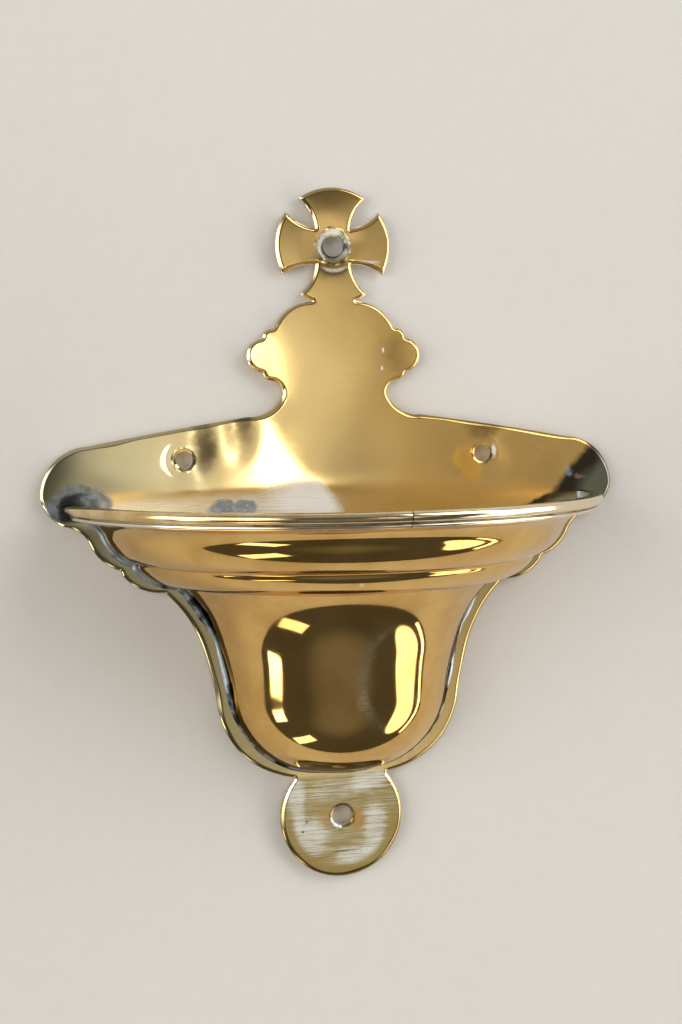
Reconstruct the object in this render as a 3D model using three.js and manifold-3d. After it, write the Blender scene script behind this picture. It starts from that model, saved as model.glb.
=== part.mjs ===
import * as THREE from 'three';
import { mergeVertices } from 'three/addons/utils/BufferGeometryUtils.js';
import Module from 'manifold-3d';

// Wall-hung holy water stoup in sheet brass: a sawn backplate with a spun bowl soldered to its front.
// Millimetres, X to the right, Y into the wall, Z up. The origin lies on the backplate's rear face, on
// the centre line, level with the top of the bowl's rim.

// Backplate sheet and its screw holes
const PLATE_THICKNESS = 2.5;
const EDGE_EASE = 0.5;
const SIDE_BORDER = 3.8;
const LOWER_BORDER = 1.9;
const SIDE_HOLE_DIAMETER = 4.8;
const SIDE_HOLE_SPREAD = 43.2;
const SIDE_HOLE_HEIGHT = 11.4;
const END_HOLE_DIAMETER = 5.8;
const COUNTERSINK_WIDTH = 1.8;
const COUNTERSINK_DEPTH = 0.5;
const TAB_RADIUS = 17.7;
const TAB_DROP = 12.6;

// Wings of the backplate, beside the bowl's rim
const WING_OVERHANG = 5.7;
const WING_TIP_HEIGHT = 1.8;
const WING_TIP_RUN = 13.3;
const WING_TIP_RISE = 13.9;
const WING_TIP_SWELL = 3.9;
const WING_UNDER_SWELL = 1.3;
const WING_ROOT_HEIGHT = 24.2;
const WING_TOP_SWELL = 0.4;

// Orb above the wings: waist, lower bead, ear, upper bead and dome, as half widths and rises
const FOOT_HALF_WIDTH = 24;
const FOOT_HOLLOW = 1.65;
const WAIST_HALF_WIDTH = 14.9;
const WAIST_RISE = 4.9;
const WAIST_HOLLOW = 0.9;
const LOWER_BEAD_HALF_WIDTH = 18.4;
const LOWER_BEAD_RISE = 3.9;
const LOWER_BEAD_SWELL = 0.7;
const EAR_ROOT_HALF_WIDTH = 20.5;
const EAR_ROOT_RISE = 2.2;
const EAR_HEIGHT = 9.4;
const EAR_SWELL = 4.6;
const DOME_HALF_WIDTH = 17.4;
const UPPER_BEAD_RISE = 2.7;
const UPPER_BEAD_SWELL = 1.15;
const DOME_RISE = 7.7;
const DOME_SWELL = 2.1;
const NECK_HALF_WIDTH = 6;

// Cross on the orb: four arms that flare to a circle
const CROSS_RADIUS = 16.4;
const CROSS_ARM_HALF_ANGLE = 35.5;
const CROSS_LOWER_TIP_ANGLE = 28.5;
const CROSS_NOTCH_RADIUS = 7;
const CROSS_ARM_HOLLOW = 0.9;

// Bowl: the sheet, the radius of each turn of its profile, and the drop from one turn to the next
const BOWL_WALL = 1.2;
const AXIS_SETBACK = 8;
const RIM_RADIUS = 77.4;
const LIP_DROP = 4.4;
const OGEE_RADIUS = 66.2;
const OGEE_HOLLOW_DROP = 5;
const OGEE_HOLLOW = 1.6;
const OGEE_SWELL_DROP = 7.5;
const OGEE_SWELL = 1.3;
const STEP_RADIUS = 58;
const STEP_INSET = 0.4;
const STEP_DROP = 1.3;
const BAND_FOOT_RADIUS = 46.4;
const BAND_DROP = 5.2;
const BAND_SWELL = 1.6;
const NECK_RADIUS = 35.3;
const NECK_DROP = 18.6;
const NECK_HOLLOW = 1.7;
const BULB_RADIUS = 32.4;
const BULB_SIDE_DROP = 13.4;
const BULB_SIDE_HOLLOW = 0.27;
const BASE_RADIUS = 14.5;
const BULB_DROP = 22;
const BULB_SWELL = 4.5;
const BASE_DROP = 1.6;
const BASE_SWELL = 0.6;

// Rim moulding: a half-round bead above a thin reed, bent round the lip in two lengths
const BEAD_HEIGHT = 2.8;
const BEAD_BACKING = 1.1;
const REED_HEIGHT = 1;
const REED_BACKING = 0.6;
const QUIRK_HEIGHT = 0.3;
const BUTT_ANGLE = 2.2;
const BUTT_GAP = 0.3;

// Solder
const SOLDER_FILM = 0.3;
const SOLDER_LEG = 1.8;

// Smoothness of the round forms
const TURNS = 64;
const HOLE_SIDES = 24;
const ARC_STEP = THREE.MathUtils.degToRad(13);

const plateFront = -PLATE_THICKNESS;
const axisPlace = plateFront + AXIS_SETBACK;
const beadProjection = BEAD_BACKING + BEAD_HEIGHT / 2;
const lipRadius = RIM_RADIUS - beadProjection - SOLDER_FILM;
const farAway = 3 * (RIM_RADIUS + CROSS_RADIUS + TAB_RADIUS);

// Points of a line of arcs. Each row is [across, up, rise]: the rise is the height of the arc that leads
// to the point over its chord, to the left of the way there, and 0 makes a straight stretch.
function arcLine(rows) {
  const points = [new THREE.Vector2(rows[0][0], rows[0][1])];
  for (const [across, up, rise] of rows.slice(1)) {
    const from = points[points.length - 1].clone();
    const to = new THREE.Vector2(across, up);
    const along = to.clone().sub(from);
    const chord = along.length();
    const left = new THREE.Vector2(-along.y, along.x).normalize();
    const halfTurn = 2 * Math.atan2(2 * Math.abs(rise), chord);
    const pieces = rise === 0 ? 1 : Math.max(2, Math.ceil((2 * halfTurn) / ARC_STEP));
    const radius = rise === 0 ? 0 : chord / 2 / Math.sin(halfTurn);
    const side = Math.sign(rise);
    for (let piece = 1; piece <= pieces; piece += 1) {
      const share = piece / pieces;
      const angle = halfTurn * (2 * share - 1);
      const reach = rise === 0 ? share : 0.5 + (radius * Math.sin(angle)) / chord;
      const height = rise === 0 ? 0 : side * radius * (Math.cos(angle) - Math.cos(halfTurn));
      points.push(from.clone().addScaledVector(along, reach).addScaledVector(left, height));
    }
  }
  return points;
}

// The closed shape that a half outline, drawn from the top down the right side, makes with its mirror image
function mirroredShape(half) {
  const others = half.filter((point) => point.x > 0).reverse();
  return new THREE.Shape([...half, ...others.map((point) => new THREE.Vector2(-point.x, point.y))]);
}

const wasm = await Module();
wasm.setup();

function solid(geometry) {
  const bare = geometry.clone();
  bare.deleteAttribute('normal');
  bare.deleteAttribute('uv');
  const welded = mergeVertices(bare, 1e-5);
  const vertProperties = new Float32Array(welded.attributes.position.array);
  const triVerts = new Uint32Array(welded.index.array);
  return new wasm.Manifold(new wasm.Mesh({ numProp: 3, vertProperties, triVerts }));
}

function meshOf(name, body, material) {
  const result = body.getMesh();
  const geometry = new THREE.BufferGeometry();
  geometry.setAttribute('position', new THREE.BufferAttribute(new Float32Array(result.vertProperties), 3));
  geometry.setIndex(new THREE.BufferAttribute(new Uint32Array(result.triVerts), 1));
  geometry.computeVertexNormals();
  const mesh = new THREE.Mesh(geometry, material);
  mesh.name = name;
  return mesh;
}

// A sheet piece with eased edges, its rear face on the wall
function sheet(shape) {
  const geometry = new THREE.ExtrudeGeometry(shape, {
    depth: PLATE_THICKNESS - 2 * EDGE_EASE,
    bevelEnabled: true,
    bevelThickness: EDGE_EASE,
    bevelSize: EDGE_EASE,
    bevelOffset: -EDGE_EASE,
    bevelSegments: 1,
    curveSegments: HOLE_SIDES,
  });
  geometry.rotateX(Math.PI / 2);
  geometry.translate(0, -EDGE_EASE, 0);
  return solid(geometry);
}

// A turned body about the bowl's upright axis, from a profile of [radius, height] points
function turned(points) {
  const geometry = new THREE.LatheGeometry(points, TURNS);
  geometry.rotateX(Math.PI / 2);
  geometry.translate(0, axisPlace, 0);
  return solid(geometry);
}

// All the space behind the backplate's front face
function behindFront() {
  const geometry = new THREE.BoxGeometry(farAway, farAway, farAway);
  geometry.translate(0, plateFront + farAway / 2, 0);
  return solid(geometry);
}

// Bowl profile, from the lip down the outside to the middle of the base
const ogeeDepth = LIP_DROP + OGEE_HOLLOW_DROP;
const stepDepth = ogeeDepth + OGEE_SWELL_DROP;
const bandDepth = stepDepth + STEP_DROP;
const neckDepth = bandDepth + BAND_DROP;
const bulbDepth = neckDepth + NECK_DROP;
const roundDepth = bulbDepth + BULB_SIDE_DROP;
const baseDepth = roundDepth + BULB_DROP;
const bowlDepth = baseDepth + BASE_DROP;
const outside = arcLine([
  [lipRadius, 0, 0],
  [lipRadius, -LIP_DROP, 0],
  [OGEE_RADIUS, -ogeeDepth, -OGEE_HOLLOW],
  [STEP_RADIUS, -stepDepth, OGEE_SWELL],
  [STEP_RADIUS - STEP_INSET, -bandDepth, 0],
  [BAND_FOOT_RADIUS, -neckDepth, BAND_SWELL],
  [NECK_RADIUS, -bulbDepth, -NECK_HOLLOW],
  [BULB_RADIUS, -roundDepth, -BULB_SIDE_HOLLOW],
  [BASE_RADIUS, -baseDepth, BULB_SWELL],
  [0, -bowlDepth, BASE_SWELL],
]);

// The same profile moved square to itself by the sheet's thickness, up and inwards
function thicknessInside(points, thickness) {
  return points.map((point, place) => {
    const before = points[Math.max(place - 1, 0)];
    const after = points[Math.min(place + 1, points.length - 1)];
    const first = place === 0 ? after.clone().sub(point) : point.clone().sub(before);
    const second = place === points.length - 1 ? first.clone() : after.clone().sub(point);
    const one = new THREE.Vector2(first.y, -first.x).normalize();
    const two = new THREE.Vector2(second.y, -second.x).normalize();
    const mitre = one.clone().add(two).normalize();
    const moved = point.clone().addScaledVector(mitre, thickness / mitre.dot(one));
    if (place === 0) moved.y = 0;
    if (place === points.length - 1) moved.x = 0;
    return moved;
  });
}

const inside = thicknessInside(outside, BOWL_WALL);
const upwards = [...outside].reverse();
const bowl = turned([...upwards, ...inside]).subtract(behindFront());

// Half width of the bowl where a turn of the given radius meets the backplate
const atPlate = (radius) => Math.sqrt(Math.max(radius * radius - AXIS_SETBACK * AXIS_SETBACK, 0));

// Backplate: wings and border in one outline, with the orb, the cross and the tab joined on
const rimHalfWidth = atPlate(RIM_RADIUS);
const wingHalfSpan = rimHalfWidth + WING_OVERHANG;
const shoulder = wingHalfSpan - WING_TIP_RUN;
const shoulderHeight = WING_TIP_HEIGHT + WING_TIP_RISE;
const border = outside
  .filter((point) => point.y <= -LIP_DROP && point.x > AXIS_SETBACK)
  .map((point) => new THREE.Vector2(atPlate(point.x) + SIDE_BORDER, point.y - LOWER_BORDER));
const wingEdge = arcLine([
  [0, WING_ROOT_HEIGHT, 0],
  [WAIST_HALF_WIDTH, WING_ROOT_HEIGHT, 0],
  [shoulder, shoulderHeight, WING_TOP_SWELL],
  [wingHalfSpan, WING_TIP_HEIGHT, WING_TIP_SWELL],
  [border[0].x, border[0].y, WING_UNDER_SWELL],
]);
const borderFoot = new THREE.Vector2(0, border[border.length - 1].y);
const wings = sheet(mirroredShape([...wingEdge, ...border.slice(1), borderFoot]));

const wingSlope = (WING_ROOT_HEIGHT - shoulderHeight) / (shoulder - WAIST_HALF_WIDTH);
const footHeight = WING_ROOT_HEIGHT - wingSlope * (FOOT_HALF_WIDTH - WAIST_HALF_WIDTH);
const waistHeight = WING_ROOT_HEIGHT + WAIST_RISE;
const lowerBeadHeight = waistHeight + LOWER_BEAD_RISE;
const earRootHeight = lowerBeadHeight + EAR_ROOT_RISE;
const earTopHeight = earRootHeight + EAR_HEIGHT;
const domeFootHeight = earTopHeight + UPPER_BEAD_RISE;
const neckHeight = domeFootHeight + DOME_RISE;
const orb = sheet(
  mirroredShape(
    arcLine([
      [0, neckHeight, 0],
      [NECK_HALF_WIDTH, neckHeight, 0],
      [DOME_HALF_WIDTH, domeFootHeight, DOME_SWELL],
      [EAR_ROOT_HALF_WIDTH, earTopHeight, UPPER_BEAD_SWELL],
      [EAR_ROOT_HALF_WIDTH, earRootHeight, EAR_SWELL],
      [LOWER_BEAD_HALF_WIDTH, lowerBeadHeight, LOWER_BEAD_SWELL],
      [WAIST_HALF_WIDTH, waistHeight, -WAIST_HOLLOW],
      [FOOT_HALF_WIDTH, footHeight, -FOOT_HOLLOW],
      [FOOT_HALF_WIDTH, 0, 0],
      [0, 0, 0],
    ]),
  ),
);

const crossHeight = neckHeight + Math.sqrt(CROSS_RADIUS * CROSS_RADIUS - NECK_HALF_WIDTH * NECK_HALF_WIDTH);
// Angles from the middle of each arm to its two tips, clockwise from the upper arm
const tipAngle = THREE.MathUtils.degToRad(CROSS_ARM_HALF_ANGLE);
const lowerTipAngle = THREE.MathUtils.degToRad(CROSS_LOWER_TIP_ANGLE);
const armTips = [
  [tipAngle, tipAngle],
  [tipAngle, lowerTipAngle],
  [tipAngle, tipAngle],
  [lowerTipAngle, tipAngle],
];
const crossRows = [];
armTips.forEach(([first, second], arm) => {
  const middle = Math.PI / 2 - (arm * Math.PI) / 2;
  const swell = CROSS_RADIUS * (1 - Math.cos((first + second) / 2));
  const onCircle = (radius, angle, rise) => [
    radius * Math.cos(angle),
    crossHeight + radius * Math.sin(angle),
    rise,
  ];
  crossRows.push(onCircle(CROSS_RADIUS, middle + first, -CROSS_ARM_HOLLOW));
  crossRows.push(onCircle(CROSS_RADIUS, middle - second, swell));
  crossRows.push(onCircle(CROSS_NOTCH_RADIUS, middle - Math.PI / 4, -CROSS_ARM_HOLLOW));
});
crossRows.push(crossRows[0]);
const cross = sheet(new THREE.Shape(arcLine(crossRows).slice(1)));

const tabHeight = -bowlDepth - TAB_DROP;
const tabShape = new THREE.Shape();
tabShape.absarc(0, tabHeight, TAB_RADIUS, 0, 2 * Math.PI, true);
const tab = sheet(tabShape);

// Cutter of a screw hole, countersunk from the front
function screwHole(diameter, across, height) {
  const radius = diameter / 2;
  const profile = [
    new THREE.Vector2(0, -1),
    new THREE.Vector2(radius, -1),
    new THREE.Vector2(radius, PLATE_THICKNESS - COUNTERSINK_DEPTH),
    new THREE.Vector2(radius + COUNTERSINK_WIDTH, PLATE_THICKNESS),
    new THREE.Vector2(radius + COUNTERSINK_WIDTH, PLATE_THICKNESS + 1),
    new THREE.Vector2(0, PLATE_THICKNESS + 1),
  ];
  const geometry = new THREE.LatheGeometry(profile, HOLE_SIDES);
  geometry.rotateX(Math.PI);
  geometry.translate(across, 0, height);
  return solid(geometry);
}

const backplate = wings
  .add(orb)
  .add(cross)
  .add(tab)
  .subtract(screwHole(END_HOLE_DIAMETER, 0, crossHeight))
  .subtract(screwHole(END_HOLE_DIAMETER, 0, tabHeight))
  .subtract(screwHole(SIDE_HOLE_DIAMETER, -SIDE_HOLE_SPREAD, SIDE_HOLE_HEIGHT))
  .subtract(screwHole(SIDE_HOLE_DIAMETER, SIDE_HOLE_SPREAD, SIDE_HOLE_HEIGHT));

// Rim moulding: one ring, cut by the backplate and parted at the butt joint
const seat = lipRadius + SOLDER_FILM;
const reedFoot = -BEAD_HEIGHT - QUIRK_HEIGHT - REED_HEIGHT;
const moulding = turned(
  arcLine([
    [seat, reedFoot, 0],
    [seat + REED_BACKING, reedFoot, 0],
    [seat + REED_BACKING, reedFoot + REED_HEIGHT, -REED_HEIGHT / 2],
    [seat + BEAD_BACKING, -BEAD_HEIGHT, 0],
    [seat + BEAD_BACKING, 0, -BEAD_HEIGHT / 2],
    [seat, 0, 0],
    [seat, reedFoot, 0],
  ]),
).subtract(behindFront());

// All the space to one side of the butt joint, seen from the front
function besideButt(side) {
  const geometry = new THREE.BoxGeometry(farAway, 2 * farAway, farAway);
  geometry.translate(side * (farAway / 2 - BUTT_GAP / 2), 0, 0);
  geometry.rotateZ(THREE.MathUtils.degToRad(BUTT_ANGLE));
  geometry.translate(0, axisPlace, 0);
  return solid(geometry);
}

// Solder fillet along the meeting line of the bowl and the backplate: a hollow-faced strip, side 1 outside
// the bowl and side -1 inside, laid in short stretches from the left end of the line round the base to the right
function solderStrip(profile, side) {
  const half = profile
    .filter((point) => point.x > AXIS_SETBACK)
    .map((point) => new THREE.Vector2(-atPlate(point.x), point.y));
  const lowest = profile.find((point) => point.x <= AXIS_SETBACK) ?? profile[profile.length - 1];
  const others = half.map((point) => new THREE.Vector2(-point.x, point.y)).reverse();
  const line = [...half, new THREE.Vector2(0, lowest.y), ...others];
  const hollow = SOLDER_FILM + (SOLDER_LEG - SOLDER_FILM) * 0.3;
  const away = line.map((point, place) => {
    const before = line[Math.max(place - 1, 0)];
    const after = line[Math.min(place + 1, line.length - 1)];
    const along = after.clone().sub(before).normalize();
    return new THREE.Vector2(along.y, -along.x).multiplyScalar(side);
  });
  const stretches = [];
  for (let place = 1; place < line.length; place += 1) {
    const onward = line[place].clone().sub(line[place - 1]).setLength(SOLDER_FILM);
    const low = [];
    const high = [];
    for (const [end, lap] of [[place - 1, -1], [place, 1]]) {
      const start = line[end].clone().addScaledVector(onward, lap);
      const at = (reach, rise) => {
        const point = start.clone().addScaledVector(away[end], reach);
        return [point.x, plateFront - rise, point.y];
      };
      low.push(at(-SOLDER_LEG, 0), at(-SOLDER_LEG, hollow), at(hollow, hollow), at(SOLDER_LEG, 0));
      high.push(at(-SOLDER_LEG, 0), at(-SOLDER_LEG, SOLDER_LEG), at(SOLDER_FILM, SOLDER_LEG), at(hollow, hollow));
    }
    stretches.push(wasm.Manifold.hull(low), wasm.Manifold.hull(high));
  }
  return wasm.Manifold.union(stretches).simplify(SOLDER_FILM / 20);
}

// The bowl's outside grown by the solder film, and its inside shrunk by it
const shifted = (points, across, up) =>
  points.map((point) => new THREE.Vector2(Math.max(point.x + across, 0), point.y + up));
const grownOutside = shifted(outside, SOLDER_FILM, -SOLDER_FILM);
const grownBody = turned([
  new THREE.Vector2(0, grownOutside[grownOutside.length - 1].y),
  ...[...grownOutside].reverse().slice(1),
  new THREE.Vector2(grownOutside[0].x, farAway / 2),
  new THREE.Vector2(0, farAway / 2),
]);
const shrunkInside = shifted(inside, -SOLDER_FILM, SOLDER_FILM);
const shrunkBody = turned([
  new THREE.Vector2(0, shrunkInside[shrunkInside.length - 1].y),
  ...[...shrunkInside].reverse().slice(1, -1),
  new THREE.Vector2(shrunkInside[0].x, -SOLDER_FILM),
  new THREE.Vector2(0, -SOLDER_FILM),
]);
const underLip = outside.filter((point) => point.y < -LIP_DROP - SOLDER_LEG / 2);
const solderOutside = solderStrip(underLip, 1).subtract(grownBody);
const solderInside = solderStrip(inside, -1).intersect(shrunkBody);

const brass = (roughness) =>
  new THREE.MeshStandardMaterial({ color: 0xc9a24a, roughness, metalness: 1 });
const solder = () => new THREE.MeshStandardMaterial({ color: 0x9a9a94, roughness: 0.5, metalness: 1 });

const stoup = new THREE.Group();
stoup.name = 'holy_water_stoup';
stoup.add(meshOf('backplate', backplate, brass(0.28)));
stoup.add(meshOf('half_bowl', bowl, brass(0.1)));
stoup.add(meshOf('rim_bead_left', moulding.subtract(besideButt(1)), brass(0.15)));
stoup.add(meshOf('rim_bead_right', moulding.subtract(besideButt(-1)), brass(0.15)));
stoup.add(meshOf('solder_seam_outside', solderOutside, solder()));
stoup.add(meshOf('solder_seam_inside', solderInside, solder()));

export default stoup;
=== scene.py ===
# %% [markdown]
# # A holy water stoup in polished brass
# The stoup is a sawn brass backplate with a spun half bowl soldered to its front, and a moulded bead round the
# rim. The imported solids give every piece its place; this lesson dresses each of them with a finer mesh, because
# polished metal shows every facet, and with a finish that has the wear of an old, much polished piece.

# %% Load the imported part
import math

import bpy
import numpy as np
from mathutils import Matrix, Vector, geometry, kdtree, noise


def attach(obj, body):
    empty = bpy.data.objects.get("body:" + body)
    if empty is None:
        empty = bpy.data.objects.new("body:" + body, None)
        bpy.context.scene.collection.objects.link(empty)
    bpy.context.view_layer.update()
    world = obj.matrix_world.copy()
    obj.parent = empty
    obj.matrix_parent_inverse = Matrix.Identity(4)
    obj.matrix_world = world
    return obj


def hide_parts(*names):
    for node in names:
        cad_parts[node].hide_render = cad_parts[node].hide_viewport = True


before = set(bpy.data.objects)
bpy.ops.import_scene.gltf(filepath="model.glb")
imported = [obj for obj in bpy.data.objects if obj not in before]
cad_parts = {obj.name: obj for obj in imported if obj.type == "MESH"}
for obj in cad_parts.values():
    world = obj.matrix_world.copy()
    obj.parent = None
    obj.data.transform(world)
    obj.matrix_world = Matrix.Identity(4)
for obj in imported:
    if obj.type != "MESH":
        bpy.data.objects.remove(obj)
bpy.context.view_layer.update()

MM = 0.001
print("solids to dress:", sorted(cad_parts))

# %% [markdown]
# ## The camera
# The place of the camera was found by matching the sawn outline and the turned lines of the bowl to the picture.
# A camera can be aimed with a constraint; here its three axes are written straight into its matrix, because the
# small roll matters as much as the aim. The lens follows from a picture of 682 by 1024 points.

# %% Camera
EYE = Vector((-0.10123, -0.44287, 0.02596))
TURN, TILT, LEAN = 0.22814, -0.06698, -0.01562
SENSOR, LENS_POINTS, TALL = 36, 1600, 1024

ahead = Vector((math.sin(TURN) * math.cos(TILT), math.cos(TURN) * math.cos(TILT), math.sin(TILT)))
level = Vector((math.cos(TURN), -math.sin(TURN), 0))
upright = level.cross(ahead)
across = level * math.cos(LEAN) + upright * math.sin(LEAN)
above = upright * math.cos(LEAN) - level * math.sin(LEAN)

camera = bpy.data.objects.new("camera", bpy.data.cameras.new("camera"))
bpy.context.scene.collection.objects.link(camera)
camera.data.sensor_width = SENSOR
camera.data.lens = SENSOR * LENS_POINTS / TALL
camera.data.clip_start = 0.01
camera.matrix_world = Matrix.Translation(EYE) @ Matrix((across, above, -ahead)).transposed().to_4x4()
bpy.context.scene.camera = camera
print("lens", round(camera.data.lens, 2), "mm")

# %% [markdown]
# ## Lines made of arcs
# A sawyer scribes an outline with compasses, and a spinner turns a profile on a chuck: both are chains of arcs.
# Blender's curve objects could draw them, but one small function that walks from corner to corner, with a rise
# for each arc, keeps the sizes readable. A positive rise bows to the left of the way ahead.

# %% Arc lines
def arc_line(corners, step):
    points = [np.array(corners[0][:2], float)]
    for x, z, rise in corners[1:]:
        start, end = points[-1], np.array((x, z), float)
        along = end - start
        chord = math.hypot(*along)
        left = np.array((-along[1], along[0])) / chord
        if abs(rise) < 1e-6:
            pieces = max(1, round(chord / step))
            points += [start + along * k / pieces for k in range(1, pieces + 1)]
            continue
        half = 2 * math.atan2(2 * abs(rise), chord)
        radius = chord / 2 / math.sin(half)
        pieces = max(3, round(2 * half * radius / step))
        for k in range(1, pieces + 1):
            angle = half * (2 * k / pieces - 1)
            height = math.copysign(radius * (math.cos(angle) - math.cos(half)), rise)
            points.append(start + along * (0.5 + radius * math.sin(angle) / chord) + left * height)
    return np.array(points)


def softened(line, reach):
    """Rounds the corners of a finely stepped line over a reach counted in points, its ends kept."""
    weights = np.exp(-np.linspace(-2, 2, 2 * reach + 1) ** 2)
    weights /= weights.sum()
    padded = np.concatenate([2 * line[0] - line[reach:0:-1], line, 2 * line[-1] - line[-2:-reach - 2:-1]])
    return np.stack([np.convolve(padded[:, k], weights, "valid") for k in (0, 1)], 1)


def evenly(line, count):
    """The same line in a given number of points, evenly spread along its length."""
    run = np.concatenate([[0], np.cumsum(np.hypot(*np.diff(line, axis=0).T))])
    places = np.linspace(0, run[-1], count)
    return np.stack([np.interp(places, run, line[:, k]) for k in (0, 1)], 1)


def leftward(line):
    """Unit normals to the left of a line."""
    along = np.gradient(line, axis=0)
    along /= np.maximum(np.hypot(*along.T), 1e-9)[:, None]
    return np.stack([-along[:, 1], along[:, 0]], 1)


# %% Profile of the bowl, in millimetres from its axis and from the rim
AXIS, FRONT, SETBACK, WALL, LIP = 5.5, -2.5, 8.0, 1.2, 74.6
PROFILE = [(LIP, 0, 0), (LIP, -4.4, 0), (66.2, -9.4, -1.6), (58, -16.9, 1.3), (57.6, -18.2, 0), (46.4, -23.4, 1.6),
           (35.3, -42, -1.7), (32.4, -55.4, -0.27), (14.5, -77.4, 4.5), (0, -79, 0.6)]
FINE_STEP, CRISP, FLOWING = 0.12, 4, 44
# The mouldings stay crisp down to this height; below it, over so many millimetres, the corners begin to flow
FLOW_FROM, FLOW_OVER = -26, 10
scribed = arc_line(PROFILE, FINE_STEP)
crisp, flowing = softened(scribed, CRISP), softened(scribed, FLOWING)
lower = np.clip((FLOW_FROM - scribed[:, 1:]) / FLOW_OVER, 0, 1)
spun_outside = crisp + (flowing - crisp) * lower * lower * (3 - 2 * lower)


def width_at_plate(radius):
    return np.sqrt(np.maximum(np.square(radius) - SETBACK ** 2, 0))


print("profile of", len(spun_outside), "points, bowl", round(-spun_outside[-1, 1], 1), "mm deep")

# %% [markdown]
# ## Meshes and pieces
# Every piece is made from lists of points and faces in millimetres.

# %% Piece helper
SHARP = math.radians(50)


def add_piece(name, points, faces, stands_for):
    mesh = bpy.data.meshes.new(name)
    mesh.from_pydata((np.asarray(points, float) * MM).tolist(), [], [list(map(int, face)) for face in faces])
    mesh.validate()
    mesh.shade_smooth()
    mesh.set_sharp_from_angle(angle=SHARP)
    piece = bpy.data.objects.new(name, mesh)
    bpy.context.scene.collection.objects.link(piece)
    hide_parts(stands_for)
    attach(piece, "root")
    print(name, len(mesh.vertices), "points", len(mesh.polygons), "faces")
    return piece


def rough(x, z, seed, size):
    """Soft noise between -1 and 1 over the plate, size in millimetres."""
    return noise.noise(Vector((x / size, z / size, seed)))


# %% [markdown]
# ## The outline of the backplate
# The plate was sawn from sheet: a small cross over an orb with beads, two long wings, a border that repeats the
# bowl's own profile, and a round tab below. The outline is walked down the right side and mirrored. The border is
# not drawn twice: it takes the bowl's profile where it meets the plate and moves it out.

# %% Outline of the backplate
CROSS, CROSS_UP, ARM, LOW_ARM, NOTCH = 16.4, 70.263, 35.5, 28.5, 7.0
TAB, TAB_UP = 17.7, -91.6
SIDE_BORDER, LOWER_BORDER = 3.8, 1.9
HOLLOW, STEP = -0.9, 0.45


def on_cross(radius, degrees, rise):
    angle = math.radians(degrees)
    return (radius * math.cos(angle), CROSS_UP + radius * math.sin(angle), rise)


def bow(degrees):
    return CROSS * (1 - math.cos(math.radians(degrees)))


wing_top = arc_line([(14.9, 24.2, 0), (69.385, 15.7, 0.4)], STEP)
wing_top = wing_top[wing_top[:, 0] > 24.3]
arms = [(0, CROSS_UP + CROSS, 0), on_cross(CROSS, 90 - ARM, bow(ARM / 2)), on_cross(NOTCH, 45, HOLLOW),
        on_cross(CROSS, ARM, HOLLOW), on_cross(CROSS, -LOW_ARM, bow((ARM + LOW_ARM) / 2)),
        on_cross(NOTCH, -45, HOLLOW), on_cross(CROSS, ARM - 90, HOLLOW)]
orb_side = [(6, 55.0, bow(7)), (17.4, 47.3, 2.1), (20.5, 44.6, 1.15), (20.5, 35.2, 4.6), (18.4, 33.0, 0.7),
            (14.9, 29.1, HOLLOW), (24, 22.85, -1.65)]
upper = arc_line(arms + orb_side, STEP)
border = spun_outside[(spun_outside[:, 1] < -4.4) & (spun_outside[:, 0] > SETBACK)][::4]
border = np.stack([width_at_plate(border[:, 0]) + SIDE_BORDER, border[:, 1] - LOWER_BORDER], 1)
border = border[np.hypot(border[:, 0], border[:, 1] - TAB_UP) > TAB]
tip = arc_line([tuple(wing_top[-1]) + (0,), (82.685, 1.8, 3.9), (border[0, 0], border[0, 1], 1.3)], STEP)
meeting = math.atan2(border[-1, 1] - TAB_UP, border[-1, 0])
swing = np.linspace(meeting, -math.pi / 2, round((meeting + math.pi / 2) * TAB / STEP))[1:]
round_tab = np.stack([TAB * np.cos(swing), TAB_UP + TAB * np.sin(swing)], 1)
right = np.concatenate([upper, wing_top, tip[1:], border[1:], round_tab])
eased, worn = softened(right, 1), softened(right, 3)
orb = (right[:, 1] > 28) & (right[:, 1] < 50)
right = np.where(orb[:, None], worn, eased)
right[0, 0] = right[-1, 0] = 0
outline = np.concatenate([right, right[-2:0:-1] * (-1, 1)])
print("outline of", len(outline), "points")

# %% [markdown]
# ## The backplate
# Old sheet is never flat. The sawn edge was eased with a file and has worn since, the screws drew dimples
# round their holes, and the faces wander by a tenth of a millimetre, which is enough to bend every reflection.
# A bevel modifier would round the edge but could not dent the face, so the face is filled with points in rings
# along the edge and on a fine grid, joined by a Delaunay fill, and each point is pushed back by the sum of it all.

# %% Where the screws go
# Each hole: across, up, radius, width and depth of its hand-cut countersink, depth of the dimple round it
HOLES = [(0.0, CROSS_UP, 2.9, 1.9, 0.26, 0.14), (0.0, TAB_UP, 2.9, 0.7, 0.25, 0.05),
         (-43.2, 11.4, 2.4, 0.7, 0.20, 0.12), (43.2, 11.4, 2.4, 0.7, 0.22, 0.16)]
FILED, BACK_ROUND, THICK = 1.05, 0.35, 2.5
TURN_POINTS = 84


def ring(x, z, radius, count=TURN_POINTS):
    angle = np.linspace(0, 2 * math.pi, count, endpoint=False)
    return np.stack([x + radius * np.cos(angle), z + radius * np.sin(angle)], 1)


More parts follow.
